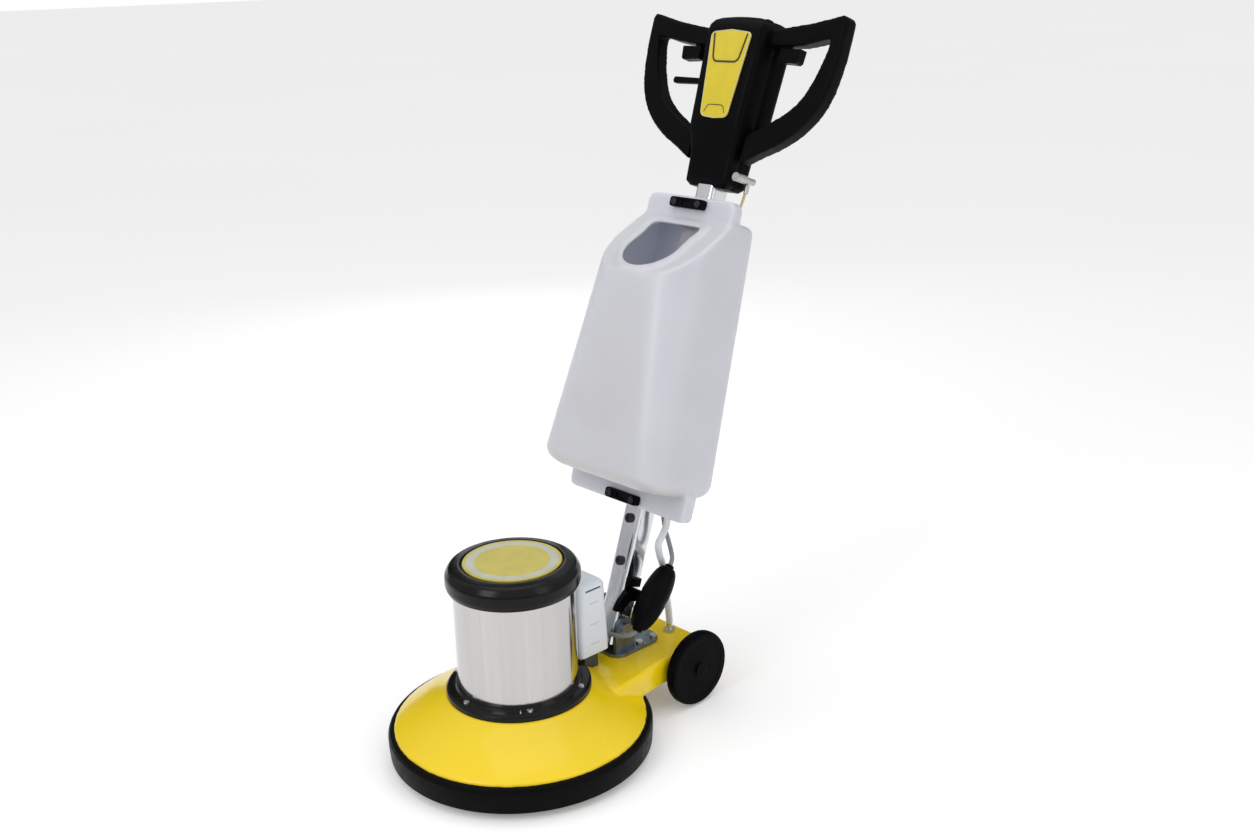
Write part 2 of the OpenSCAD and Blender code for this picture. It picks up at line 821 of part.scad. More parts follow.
module head_back() {
    color(black) on_handle() difference() {
        union() {
            intersection() {
                head_shell();
                translate([-200, split_y, 700]) cube([400, 200, 500]);
            }
            translate([lever_pin[0], 0, lever_pin[1]]) rod_y(-12, 31, 3);
            translate([lever_pin[0], 0, lever_pin[1]]) rod_y(4, 31, 6);
        }
        translate([0, 0, button_t]) rod_y(20, 60, 9.4);
        translate([inlet_at[0], 0, inlet_at[1]]) rod_y(20, 60, 9 + fit);
    }
}

module yellow_panel() {
    color(yellow) on_handle() translate([0, head_face - 0.1, 0]) rotate([90, 0, 0]) difference() {
        linear_extrude(3.4) hull() {
            for (x = [-1, 1]) {
                translate([x * 37, 1023]) circle(8);
                translate([x * 20, 899]) circle(10);
            }
        }
        translate([0, 0, 2.6]) linear_extrude(2) difference() {
            polygon([[-30, 1032], [-24, 984], [24, 984], [30, 1032]]);
            polygon([[-26, 1033], [-21, 988], [21, 988], [26, 1033]]);
        }
    }
}

// Outline of one D-shaped loop: outer edge and window, side +X
loop_outer = concat(
    [[60, 1040], [90, 1045], [150, 1056], [206, 1069]],
    smooth([[214, 1069], [219, 1062], [219, 1050], [221, 1000], [217, 950], [203, 912],
            [176, 878], [136, 850], [96, 832], [60, 818]], 3),
    [[40, 812], [40, 900]]
);
loop_window = concat(
    [[70, 874], [88, 881]],
    smooth([[100, 888], [130, 904], [156, 930], [174, 966], [184, 1002], [187, 1024]], 3),
    [[184, 1027], [136, 1018], [60, 1018], [60, 900]]
);

module grip_loop() {
    for (layer = [[17, 6], [14, 2.5], [10, 0]]) translate([0, grip_y, 0]) rotate([90, 0, 0])
        linear_extrude(2 * layer[0], center = true) offset(delta = -layer[1]) difference() {
            polygon(loop_outer);
            polygon(loop_window);
        }
}

module grip_loops() {
    color(black) on_handle() for (side = [-1, 1]) difference() {
        mirror([side < 0 ? 1 : 0, 0, 0]) {
            difference() {
                grip_loop();
                translate([86, grip_y - 9, 1000]) cube([54, 18, 30]);
                translate([0, -60, 800]) cube([50, 120, 300]);
            }
            translate([trigger_pin[0], 0, trigger_pin[1]]) rod_y(grip_y - 11, grip_y + 11, 2.5);
        }
        head_form(-0.2);
    }
}

module trigger_shape() {
    translate([0, grip_y, 0]) rotate([90, 0, 0]) difference() {
        union() {
            linear_extrude(16, center = true) polygon([
                [90, trigger_low + 2], [126, trigger_low], [131, trigger_low + 3], [133, trigger_high - 2],
                [90, trigger_high - 2]
            ]);
            translate([trigger_pin[0], trigger_pin[1], 0]) cylinder(h = 16, r = 6, center = true);
        }
        translate([trigger_pin[0], trigger_pin[1], 0]) cylinder(h = 40, r = 2.5 + fit, center = true);
    }
}

module left_trigger() {
    color(black) on_handle() trigger_shape();
}

module right_trigger() {
    color(black) on_handle() mirror([1, 0, 0]) trigger_shape();
}

// Finger lever for the solution valve, on the right-hand side of the head
module solution_lever() {
    color(black) on_handle() translate([lever_pin[0], 0, lever_pin[1]]) difference() {
        union() {
            rod_y(-8, 3, 8);
            translate([-68, -7, -4.5]) cube([66, 9, 9]);
            translate([-68, 0, 0]) rod_y(-8, 3, 5.5);
        }
        rod_y(-20, 20, 3 + fit);
    }
}

module lock_button() {
    color(yellow) on_handle() translate([0, 0, button_t]) {
        rod_y(24, 40, 9);
        rod_y(20, 24, 12);
    }
}

module drive_switch() {
    color("dimgray") on_handle() {
        translate([-20, -14, 984]) cube([40, 26, 34]);
        for (x = [-12, 12]) translate([x, 0, 1018]) cylinder(h = 5, r = 3);
    }
}

module cord_inlet() {
    color(black) on_handle() translate([inlet_at[0], 0, inlet_at[1]]) {
        rod_y(24, 38, 9);
        rod_y(32.2, 38, 13, $fn = 6);
    }
}

// ---- cables and hose ----

module cable_adjuster() {
    color("silver") on_handle() translate([adjuster_at[0], 0, adjuster_at[1]]) {
        rod_y(-16, 10, 7.5);
        rod_y(10, 32, 5.5);
        translate([0, pull_y, -22]) cylinder(h = 22, r = 4);
        translate([-7, -6, -4]) cube([4, 16, 8]);
    }
}

module pull_cable() {
    color(yellow) on_handle() sweep(smooth([
        [58, pull_y, 774.9], [56, pull_y, 760], [52, pull_y, 730], [50, pull_y, 640], [50, pull_y, 520],
        [50, pull_y, 400], [50, pull_y, 300], [51, pull_y, 275], [52, pull_y - 2, 253.2]
    ]), 2.4, 8);
}

module power_lead() {
    top = connector_low + (connector_long + 0.3) * [0, sin(connector_tilt), cos(connector_tilt)];
    color("slategray") on_handle() sweep(smooth([
        [tube_w / 2 + 0.3, 10, 252], [28, 10, 250], [36, 11, 245], [38.5, 13, 236], [38.5, 16, 220],
        [40, 19, 205], [44, 27, 184], [49, 35, 167], [55, 41, 150], [61, 41, 138], top
    ]), 4, 10);
}

// Two-part rubber cable connector that hangs beside the hinge
module connector() {
    half = connector_long / 2;
    color(black) on_handle() translate(connector_low) rotate([-connector_tilt, 0, 0])
        rotate_extrude($fn = 48) polygon(concat(
            [[0, 0], [7, 0], [9, 4]],
            [for (a = [15:15:165]) [8 + 17 * sin(a), half - (half - 5) * cos(a)]],
            [[8, connector_long - 4], [6, connector_long], [0, connector_long]]
        ));
}

module lower_lead() {
    color("slategray") sweep(smooth([
        [gland_at[0], box_rear + 6.1, gland_at[1]], [16, 181, 144], [17.1, 185, 144.2], [20, 187.9, 144.6],
        [24, 189.3, 145], [32, 190.4, 145.5], [42, 192.2, 146.3], [52, 195, 147.5], [60, 198.6, 149.5],
        for (d = [8, 0.4]) from_handle(connector_low - d * [0, sin(connector_tilt), cos(connector_tilt)])
    ], 3), 4, 10);
}

module feed_elbow() {
    color(steel) translate([hose_end[0], hose_end[1], neck_top + 0.1]) {
        cylinder(h = 6, r = 11, $fn = 6);
        cylinder(h = 17, r = 5.5);
    }
}

module solution_hose() {
    color("whitesmoke") sweep(smooth([
        for (p = [[58, 2, 230.6], [58, 2, 226], [58, 3, 221], [58, 8, 210], [55, 14, 194], [52, 12, 174],
                  [50, 10, 159], [47, 23, 140], [43, 40, 123], [36, 58, 100], [29, 78, 74],
                  [25, 98, 46]]) from_handle(p),
        for (z = [27, 21, 17.4]) [hose_end[0], hose_end[1], neck_top + z]
    ]), 6, 10);
}

deck_casting();
bumper_ring();
motor_flange();
deck_bolts();
motor_shell();
motor_cap();
cap_plate();
cap_ring();
end_bell();
stator_core();
stator_windings();
bearings();
gear_housing();
ring_gear();
capacitor_box();
run_capacitors();
box_stand();
cable_glands();
wheel_axle();
hinge_bracket();
pivot_pin();
feed_elbow();
motor_shaft();
rotor_core();
cooling_fan();
planet_carrier();
drive_plate();
brush_block();
bristles();
planet_gear_1();
planet_gear_2();
planet_gear_3();
left_wheel();
right_wheel();
handle_tube();
hinge_knuckle();
tube_screws();
lever_mount();
release_lever();
tank_shell();
tank_outlet();
tank_clamps();
tank_clips();
clip_screws();
head_front();
head_back();
yellow_panel();
grip_loops();
drive_switch();
left_trigger();
right_trigger();
solution_lever();
lock_button();
cord_inlet();
cable_adjuster();
pull_cable();
power_lead();
connector();
lower_lead();
solution_hose();
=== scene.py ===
"""Looks of the walk-behind rotary floor scrubber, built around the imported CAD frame.

Handle pieces are drawn in the handle's own axes (x across, y from front to back, t along the tube
from the pivot, all in millimetres) and are then leaned into place by the HANDLE matrix.
"""

import json
import math

import bmesh
import bpy
import numpy as np
from mathutils import Matrix, Vector


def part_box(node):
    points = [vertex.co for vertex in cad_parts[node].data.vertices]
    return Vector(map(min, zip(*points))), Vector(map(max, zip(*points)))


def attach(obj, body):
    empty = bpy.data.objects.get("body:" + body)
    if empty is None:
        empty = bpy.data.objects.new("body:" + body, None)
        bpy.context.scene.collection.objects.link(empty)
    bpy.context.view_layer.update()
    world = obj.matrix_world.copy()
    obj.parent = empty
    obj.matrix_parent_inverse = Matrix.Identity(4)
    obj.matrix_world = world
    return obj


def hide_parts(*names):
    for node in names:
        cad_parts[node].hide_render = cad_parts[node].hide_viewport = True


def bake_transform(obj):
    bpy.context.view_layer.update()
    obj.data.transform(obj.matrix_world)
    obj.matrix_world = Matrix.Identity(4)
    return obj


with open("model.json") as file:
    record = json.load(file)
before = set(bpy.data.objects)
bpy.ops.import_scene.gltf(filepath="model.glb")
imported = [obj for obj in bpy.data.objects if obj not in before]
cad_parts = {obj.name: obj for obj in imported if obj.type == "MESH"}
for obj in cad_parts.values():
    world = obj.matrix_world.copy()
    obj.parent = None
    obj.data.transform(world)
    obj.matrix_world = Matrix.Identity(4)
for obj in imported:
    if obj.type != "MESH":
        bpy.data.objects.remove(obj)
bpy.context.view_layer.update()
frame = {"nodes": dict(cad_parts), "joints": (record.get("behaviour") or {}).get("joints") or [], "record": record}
MM = 0.001
JOINTS = {j["name"]: j for j in frame["joints"]}
SLOT_OF = {s["node"]: s["material_slot"] for s in frame["record"]["subparts"]}

LEAN = math.radians(19.6)
PIVOT = Vector(JOINTS["handle_tilt"]["pos_m"])
HANDLE = Matrix.Translation(PIVOT) @ Matrix.Rotation(-LEAN, 4, "X") @ Matrix.Scale(MM, 4)
MACHINE = Matrix.Scale(MM, 4)


# ---- camera, light and floor ----

def add_camera():
    at = Vector((1.6105, -1.2455, 1.2451))
    look = Vector((-0.69321, 0.64862, -0.31425))
    right = Vector((0.68944, 0.72384, -0.02685))
    up = right.cross(look)
    data = bpy.data.cameras.new("camera")
    data.sensor_width = 36
    data.lens = 39.5
    data.clip_end = 300
    camera = bpy.data.objects.new("camera", data)
    turn = Matrix((right, up, -look)).transposed().to_4x4()
    camera.matrix_world = Matrix.Translation(at) @ turn
    bpy.context.scene.collection.objects.link(camera)
    bpy.context.scene.camera = camera


def add_area(name, at, aim, size, power, tint=(1, 1, 1)):
    data = bpy.data.lights.new(name, "AREA")
    data.shape = "RECTANGLE"
    data.size, data.size_y = size
    data.energy = power
    data.color = tint
    light = bpy.data.objects.new(name, data)
    direction = Vector(aim) - Vector(at)
    turn = direction.to_track_quat("-Z", "Y").to_matrix().to_4x4()
    light.matrix_world = Matrix.Translation(at) @ turn
    bpy.context.scene.collection.objects.link(light)


def add_studio():
    scene = bpy.context.scene
    scene.view_settings.view_transform = "Standard"
    world = bpy.data.worlds.new("studio")
    scene.world = world
    world.use_nodes = True
    nodes, links = world.node_tree.nodes, world.node_tree.links
    nodes.clear()
    coords = nodes.new("ShaderNodeTexCoord")
    split = nodes.new("ShaderNodeSeparateXYZ")
    ramp = nodes.new("ShaderNodeValToRGB")
    shade = nodes.new("ShaderNodeBackground")
    plain = nodes.new("ShaderNodeBackground")
    path = nodes.new("ShaderNodeLightPath")
    mix = nodes.new("ShaderNodeMixShader")
    out = nodes.new("ShaderNodeOutputWorld")
    links.new(coords.outputs["Generated"], split.inputs[0])
    links.new(split.outputs["Z"], ramp.inputs[0])
    ramp.color_ramp.elements[0].position = 0.0
    ramp.color_ramp.elements[0].color = (0.40, 0.40, 0.42, 1)
    ramp.color_ramp.elements[1].position = 0.7
    ramp.color_ramp.elements[1].color = (1.0, 1.0, 1.0, 1)
    low_wall = ramp.color_ramp.elements.new(0.2)
    low_wall.color = (0.62, 0.62, 0.64, 1)
    away = nodes.new("ShaderNodeVectorMath")
    away.operation = "DOT_PRODUCT"
    away.inputs[1].default_value = (-0.73, 0.68, 0)
    dim = nodes.new("ShaderNodeMapRange")
    dim.interpolation_type = "SMOOTHSTEP"
    dim.inputs["From Min"].default_value = 0.2
    dim.inputs["From Max"].default_value = 0.95
    dim.inputs["To Min"].default_value = 1.0
    dim.inputs["To Max"].default_value = 0.05
    shadow = nodes.new("ShaderNodeVectorMath")
    shadow.operation = "SCALE"
    links.new(coords.outputs["Generated"], away.inputs[0])
    links.new(away.outputs["Value"], dim.inputs["Value"])
    links.new(dim.outputs["Result"], shadow.inputs["Scale"])
    links.new(ramp.outputs["Color"], shadow.inputs[0])
    links.new(shadow.outputs[0], shade.inputs["Color"])
    shade.inputs["Strength"].default_value = 0.95
    plain.inputs["Color"].default_value = (1.0, 1.0, 1.0, 1)
    links.new(path.outputs["Is Camera Ray"], mix.inputs[0])
    links.new(shade.outputs[0], mix.inputs[1])
    links.new(plain.outputs[0], mix.inputs[2])
    links.new(mix.outputs[0], out.inputs["Surface"])
    aim = (0, 0.1, 0.4)
    add_area("key", (0.2, -2.6, 2.2), aim, (1.2, 1.2), 16)
    add_area("fill", (2.8, 0.6, 1.7), aim, (1.0, 2.0), 7)
    add_area("top", (-0.3, 0.2, 3.2), aim, (2.4, 2.4), 14)
    add_area("back", (-2.4, 1.8, 1.6), aim, (1.0, 2.0), 6)


def add_floor():
    half = 60
    mesh = bpy.data.meshes.new("floor")
    mesh.from_pydata([(-half, -half, 0), (half, -half, 0), (half, half, 0), (-half, half, 0)], [],
                     [(0, 1, 2, 3)])
    floor = bpy.data.objects.new("floor", mesh)
    bpy.context.scene.collection.objects.link(floor)
    floor.data.materials.append(surface("floor", (0.93, 0.93, 0.93), 0.8, mottle=(0.4, 0.01), specular=0.1))
    glow = floor.data.materials[0].node_tree.nodes["Principled BSDF"]
    glow.inputs["Emission Color"].default_value = (1, 1, 1, 1)
    glow.inputs["Emission Strength"].default_value = 0.18


# ---- materials ----

def surface(name, colour, rough, metallic=0.0, mottle=(8, 0.05), grain=None, stretch=(1, 1, 1),
            rough_swing=0.0, coat=0.0, milk=0.0, specular=0.5):
    """A procedural material. mottle: (scale per metre, swing of brightness); grain: (scale, depth in mm);
    stretch squeezes the grain along the axes; rough_swing is how much the gloss varies."""
    mat = bpy.data.materials.new(name)
    mat.use_nodes = True
    nodes, links = mat.node_tree.nodes, mat.node_tree.links
    shader = nodes["Principled BSDF"]
    shader.inputs["Metallic"].default_value = metallic
    shader.inputs["Roughness"].default_value = rough
    shader.inputs["Coat Weight"].default_value = coat
    shader.inputs["Coat Roughness"].default_value = 0.06
    shader.inputs["Specular IOR Level"].default_value = specular
    if milk:
        shader.inputs["Subsurface Weight"].default_value = milk
        shader.inputs["Subsurface Radius"].default_value = (0.8, 0.85, 1.0)
        shader.inputs["Subsurface Scale"].default_value = 0.02
    coords = nodes.new("ShaderNodeTexCoord")

    def noise(scale, squeeze=(1, 1, 1), detail=3.0):
        place = nodes.new("ShaderNodeMapping")
        place.inputs["Scale"].default_value = squeeze
        tex = nodes.new("ShaderNodeTexNoise")
        tex.inputs["Scale"].default_value = scale
        tex.inputs["Detail"].default_value = detail
        links.new(coords.outputs["Object"], place.inputs["Vector"])
        links.new(place.outputs["Vector"], tex.inputs["Vector"])
        return tex.outputs["Fac"]

    def swing(value, low, high):
        span = nodes.new("ShaderNodeMapRange")
        span.inputs["From Min"].default_value = 0.3
        span.inputs["From Max"].default_value = 0.7
        span.inputs["To Min"].default_value = low
        span.inputs["To Max"].default_value = high
        links.new(value, span.inputs["Value"])
        return span.outputs["Result"]

    patch = noise(mottle[0], stretch)
    tint = nodes.new("ShaderNodeMix")
    tint.data_type = "RGBA"
    tint.inputs["A"].default_value = [max(0, c * (1 - mottle[1])) for c in colour] + [1]
    tint.inputs["B"].default_value = [min(1, c * (1 + mottle[1])) for c in colour] + [1]
    links.new(swing(patch, 0, 1), tint.inputs["Factor"])
    links.new(tint.outputs["Result"], shader.inputs["Base Color"])
    if rough_swing:
        smear = noise(mottle[0] * 5, stretch, 5.0)
        links.new(swing(smear, max(0.02, rough - rough_swing), rough + rough_swing),
                  shader.inputs["Roughness"])
    if grain:
        bump = nodes.new("ShaderNodeBump")
        bump.inputs["Strength"].default_value = 0.6
        bump.inputs["Distance"].default_value = grain[1] * MM
        links.new(noise(grain[0], stretch), bump.inputs["Height"])
        links.new(bump.outputs["Normal"], shader.inputs["Normal"])
    return mat


BRUSHED_UP = (1, 1, 0.02)
MATERIALS = {
    "yellow_paint": surface("yellow_paint", (0.86, 0.62, 0.004), 0.24, mottle=(5, 0.04),
                            grain=(260, 0.05), rough_swing=0.05, coat=0.3, specular=0.35),
    "bumper_rubber": surface("bumper_rubber", (0.0018, 0.0018, 0.002), 0.42, mottle=(14, 0.3),
                             grain=(900, 0.12), rough_swing=0.08, specular=0.06),
    "black_paint": surface("black_paint", (0.0015, 0.0015, 0.002), 0.2, mottle=(9, 0.3),
                           grain=(150, 0.03), rough_swing=0.05, specular=0.22),
    "yellow_label": surface("yellow_label", (0.66, 0.52, 0.022), 0.38, mottle=(30, 0.06),
                            grain=(500, 0.04), rough_swing=0.08),
    "silver_ring": surface("silver_ring", (0.50, 0.51, 0.42), 0.38, 0.3, mottle=(30, 0.06),
                           grain=(500, 0.03), rough_swing=0.08),
    "stainless": surface("stainless", (0.55, 0.535, 0.53), 0.15, 1.0, mottle=(60, 0.04),
                         grain=(1400, 0.02), stretch=BRUSHED_UP, rough_swing=0.05),
    "zinc_fasteners": surface("zinc_fasteners", (0.60, 0.61, 0.63), 0.3, 1.0, mottle=(90, 0.12),
                              grain=(700, 0.05), rough_swing=0.1),
    "bracket_steel": surface("bracket_steel", (0.20, 0.24, 0.28), 0.36, 0.9, mottle=(60, 0.25),
                             grain=(600, 0.08), rough_swing=0.12),
    "cast_aluminium": surface("cast_aluminium", (0.50, 0.51, 0.52), 0.5, 0.9, mottle=(40, 0.12),
                              grain=(800, 0.2), rough_swing=0.1),
    "laminated_steel": surface("laminated_steel", (0.28, 0.28, 0.30), 0.5, 0.8, mottle=(30, 0.1),
                               grain=(2000, 0.1), stretch=(0.02, 0.02, 1), rough_swing=0.1),
    "copper_wire": surface("copper_wire", (0.60, 0.26, 0.10), 0.35, 0.9, mottle=(120, 0.2),
                           grain=(1500, 0.3), rough_swing=0.1),
    "bearing_steel": surface("bearing_steel", (0.72, 0.72, 0.73), 0.2, 1.0, mottle=(40, 0.06),
                             grain=(900, 0.02), rough_swing=0.06),
    "gear_steel": surface("gear_steel", (0.42, 0.42, 0.44), 0.35, 1.0, mottle=(60, 0.1),
                          grain=(900, 0.05), rough_swing=0.1),
    "white_plastic": surface("white_plastic", (0.74, 0.79, 0.85), 0.38, mottle=(10, 0.03),
                             grain=(900, 0.05), rough_swing=0.06),
    "stand_paint": surface("stand_paint", (0.06, 0.07, 0.08), 0.4, 0.3, mottle=(40, 0.2),
                           grain=(600, 0.08), rough_swing=0.1),
    "black_plastic": surface("black_plastic", (0.0016, 0.0016, 0.0022), 0.38, mottle=(12, 0.3),
                             grain=(1300, 0.10), rough_swing=0.07, specular=0.06),
    "black_screws": surface("black_screws", (0.03, 0.03, 0.032), 0.3, 0.7, mottle=(90, 0.3),
                            grain=(900, 0.05), rough_swing=0.1),
    "clamp_steel": surface("clamp_steel", (0.03, 0.03, 0.035), 0.36, 0.5, mottle=(60, 0.3),
                           grain=(700, 0.06), rough_swing=0.1),
    "brush_plate": surface("brush_plate", (0.05, 0.055, 0.07), 0.5, mottle=(20, 0.2),
                           grain=(700, 0.12), rough_swing=0.1),
    "nylon_bristle": surface("nylon_bristle", (0.07, 0.09, 0.14), 0.45, mottle=(300, 0.3),
                             grain=(2500, 0.3), stretch=(1, 1, 0.05), rough_swing=0.1),
    "wheel_rubber": surface("wheel_rubber", (0.0018, 0.0018, 0.002), 0.5, mottle=(18, 0.3),
                            grain=(1000, 0.15), rough_swing=0.08, specular=0.04),
    "chrome_tube": surface("chrome_tube", (0.72, 0.73, 0.75), 0.15, 1.0, mottle=(30, 0.05),
                           grain=(900, 0.02), stretch=BRUSHED_UP, rough_swing=0.06),
    "milky_plastic": surface("milky_plastic", (0.60, 0.61, 0.665), 0.32, mottle=(7, 0.03),
                             grain=(420, 0.10), milk=0.6),
    "adjuster_metal": surface("adjuster_metal", (0.52, 0.51, 0.48), 0.34, 0.8, mottle=(120, 0.15),
                              grain=(900, 0.06), rough_swing=0.1),
    "yellow_cable": surface("yellow_cable", (0.55, 0.50, 0.18), 0.4, mottle=(60, 0.1),
                            grain=(900, 0.05), rough_swing=0.06),
    "lead_sheath": surface("lead_sheath", (0.22, 0.24, 0.27), 0.4, mottle=(60, 0.15),
                           grain=(1000, 0.06), rough_swing=0.08),
    "connector_rubber": surface("connector_rubber", (0.0018, 0.0018, 0.0022), 0.4, mottle=(50, 0.3),
                                grain=(1100, 0.12), rough_swing=0.08, specular=0.06),
    "hose_tube": surface("hose_tube", (0.66, 0.67, 0.69), 0.32, mottle=(50, 0.06),
                         grain=(700, 0.05), rough_swing=0.06, milk=0.3),
}


# ---- making pieces ----

def make(name, verts, faces, place=MACHINE, sharp=35):
    """An object of closed mesh, shaded smooth except across edges sharper than the angle."""
    mesh = bpy.data.meshes.new(name)
    mesh.from_pydata([tuple(v) for v in verts], [], faces)
    mesh.transform(place)
    obj = bpy.data.objects.new(name, mesh)
    bpy.context.scene.collection.objects.link(obj)
    tidy(obj, sharp)
    return obj


def tidy(obj, sharp=35):
    """Welds doubles, turns the faces outwards and sets the smooth and sharp edges."""
    bm = bmesh.new()
    bm.from_mesh(obj.data)
    bmesh.ops.remove_doubles(bm, verts=bm.verts, dist=1e-6)
    bmesh.ops.dissolve_degenerate(bm, dist=1e-6, edges=bm.edges)
    bmesh.ops.recalc_face_normals(bm, faces=bm.faces)
    limit = math.radians(sharp)
    for f in bm.faces:
        f.smooth = True
    for e in bm.edges:
        e.smooth = len(e.link_faces) == 2 and e.calc_face_angle(0) < limit
    bm.to_mesh(obj.data)
    bm.free()


def dress(obj, body, slot, *nodes, material=None):
    """The piece's body, finish and the CAD nodes that it stands for."""
    obj.data.materials.clear()
    obj.data.materials.append(material or MATERIALS[slot])
    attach(obj, body)
    if nodes:
        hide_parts(*nodes)
    return obj


def baked(obj):
    """Replaces the mesh by what its modifiers make of it."""
    graph = bpy.context.evaluated_depsgraph_get()
    mesh = bpy.data.meshes.new_from_object(obj.evaluated_get(graph))
    obj.modifiers.clear()
    obj.data = mesh
    return obj


def cut(obj, other, operation="DIFFERENCE"):
    boolean = obj.modifiers.new("cut", "BOOLEAN")
    boolean.operation = operation
    boolean.solver = "EXACT"
    boolean.object = other
    baked(obj)
    bpy.data.objects.remove(other)
    return obj


def soften(obj, voxel, rounds):
    """Remeshes a solid in small cells and relaxes it, as a moulded or cast corner would be."""
    remesh = obj.modifiers.new("remesh", "REMESH")
    remesh.mode = "VOXEL"
    remesh.voxel_size = voxel * MM
    relax = obj.modifiers.new("relax", "SMOOTH")
    relax.factor = 0.5
    relax.iterations = rounds
    return baked(obj)


def bevelled(obj, width, segments=3):
    bevel = obj.modifiers.new("bevel", "BEVEL")
    bevel.width = width * MM
    bevel.segments = segments
    bevel.limit_method = "ANGLE"
    bevel.angle_limit = math.radians(40)
    return baked(obj)


def rounded(corners, steps=6):
    """A closed outline whose corners (x, y, radius) are rounded."""
    out = []
    for i, (x, y, r) in enumerate(corners):
        here = Vector((x, y))
        to_last = Vector(corners[i - 1][:2]) - here
        to_next = Vector(corners[(i + 1) % len(corners)][:2]) - here
        if r <= 0:
            out.append((x, y))
            continue
        half = to_last.angle(to_next) / 2
        reach = min(r / math.tan(half), to_last.length * 0.49, to_next.length * 0.49)
        start = here + to_last.normalized() * reach
        end = here + to_next.normalized() * reach
        for k in range(steps + 1):
            u = k / steps
            p = start * (1 - u) ** 2 + here * 2 * u * (1 - u) + end * u ** 2
            out.append((p.x, p.y))
    return out


def smooth_line(points, steps=6):
    """Catmull-Rom curve through the points."""
    p = [Vector(q) for q in points]
    out = []
    for i in range(len(p) - 1):
        a, b, c, d = p[max(i - 1, 0)], p[i], p[i + 1], p[min(i + 2, len(p) - 1)]
        for k in range(steps):
            u = k / steps
            out.append(0.5 * (2 * b + (c - a) * u + (2 * a - 5 * b + 4 * c - d) * u ** 2
                              + (3 * b - a - 3 * c + d) * u ** 3))
    return out + [p[-1]]


def revolve(name, profile, count=144, place=MACHINE, sharp=35):
    """A closed (radius, height) profile turned about Z."""
    n = len(profile)
    verts = [(r * math.cos(a), r * math.sin(a), z)
             for a in (math.tau * k / count for k in range(count)) for r, z in profile]
    faces = [(k * n + i, (k + 1) % count * n + i, (k + 1) % count * n + (i + 1) % n,
              k * n + (i + 1) % n) for k in range(count) for i in range(n)]
    return make(name, verts, faces, place, sharp)


def loft(name, rings, place=MACHINE, sharp=35):
    n = len(rings[0])
    last = len(rings) - 1
    verts = [p for ring in rings for p in ring]
    faces = [(i * n + k, i * n + (k + 1) % n, (i + 1) * n + (k + 1) % n, (i + 1) * n + k)
             for i in range(last) for k in range(n)]
    faces += [tuple(range(n))[::-1], tuple(last * n + k for k in range(n))]
    return make(name, verts, faces, place, sharp)


def block(name, low, high, place=MACHINE):
    verts = [(x, y, z) for x in (low[0], high[0]) for y in (low[1], high[1]) for z in (low[2], high[2])]
    faces = [(0, 1, 3, 2), (4, 6, 7, 5), (0, 4, 5, 1), (2, 3, 7, 6), (0, 2, 6, 4), (1, 5, 7, 3)]
    return make(name, verts, faces, place)


def slab(name, outline, low, high, place=MACHINE, along="Y"):
    """An outline in x and z made solid from low to high along Y, or in x and y along Z."""
    def at(x, w, level):
        return (x, level, w) if along == "Y" else (x, w, level)
    return loft(name, [[at(x, w, low) for x, w in outline], [at(x, w, high) for x, w in outline]],
                place)


def tube(name, points, radius, sides, place, steps):
    """A round tube along a smooth route, with a frame carried along so that it doesn't twist."""
    path = smooth_line(points, steps)
    side = None
    rings = []
    for i, p in enumerate(path):
        ahead = (path[min(i + 1, len(path) - 1)] - path[max(i - 1, 0)]).normalized()
        if side is None:
            side = ahead.orthogonal().normalized()
        side = (side - ahead * side.dot(ahead)).normalized()
        other = ahead.cross(side)
        rings.append([tuple(p + radius * (side * math.cos(a) + other * math.sin(a)))
                      for a in (math.tau * k / sides for k in range(sides))])
    return loft(name, rings, place, 60)


def joined(name, parts):
    """Several meshes as one object."""
    bm = bmesh.new()
    for part in parts:
        bm.from_mesh(part.data)
        bpy.data.objects.remove(part)
    mesh = bpy.data.meshes.new(name)
    bm.to_mesh(mesh)
    bm.free()
    obj = bpy.data.objects.new(name, mesh)
    bpy.context.scene.collection.objects.link(obj)
    return obj


# ---- deck ----

DECK_R, BUMPER_R, RIM_Z, DECK_TOP = 212, 220, 56, 113
NECK_TOP, NECK_REAR = 100, 356
FLANGE_R, SHELL_R, SHELL_LOW, SHELL_TOP = 120, 99.4, 132, 304
DOME = [(DECK_R, RIM_Z), (DECK_R - 3, RIM_Z + 3), (DECK_R - 20, RIM_Z + 15),
        (DECK_R - 48, RIM_Z + 32.5), (DECK_R - 74, RIM_Z + 47), (FLANGE_R + 2, DECK_TOP)]


def dome_line():
    return [(p.x, p.y) for p in smooth_line([Vector(q) for q in DOME], 8)]


def add_deck():
    line = dome_line()
    deck = revolve("deck_cover", [(0, 30), (DECK_R - 4, 15), (DECK_R - 4, RIM_Z)] + line + [(0, DECK_TOP)])
    front = rounded([(-112, 120, 12), (112, 120, 12), (97, 240, 30), (93, NECK_REAR, 12),
                     (-93, NECK_REAR, 12), (-97, 240, 30)])
    neck = bevelled(slab("neck", front, 52, NECK_TOP, along="Z"), 8, 4)
    deck = soften(joined("deck_cover", [deck, neck]), 3.2, 14)
    snap_deck(deck, line)
    inner = [(r - 4, z - 6) for r, z in line]
    hollow = revolve("hollow", [(0, 8), (DECK_R - 10, 8), (DECK_R - 10, RIM_Z - 6)] + inner[1:]
                     + [(0, DECK_TOP - 6)], 96)
    cut(deck, hollow)
    under = block("under", (-86, 170, 40), (86, NECK_REAR - 8, NECK_TOP - 7))
    cut(deck, under)
    tidy(deck, 40)
    dress(deck, "base", "yellow_paint", "deck_casting")


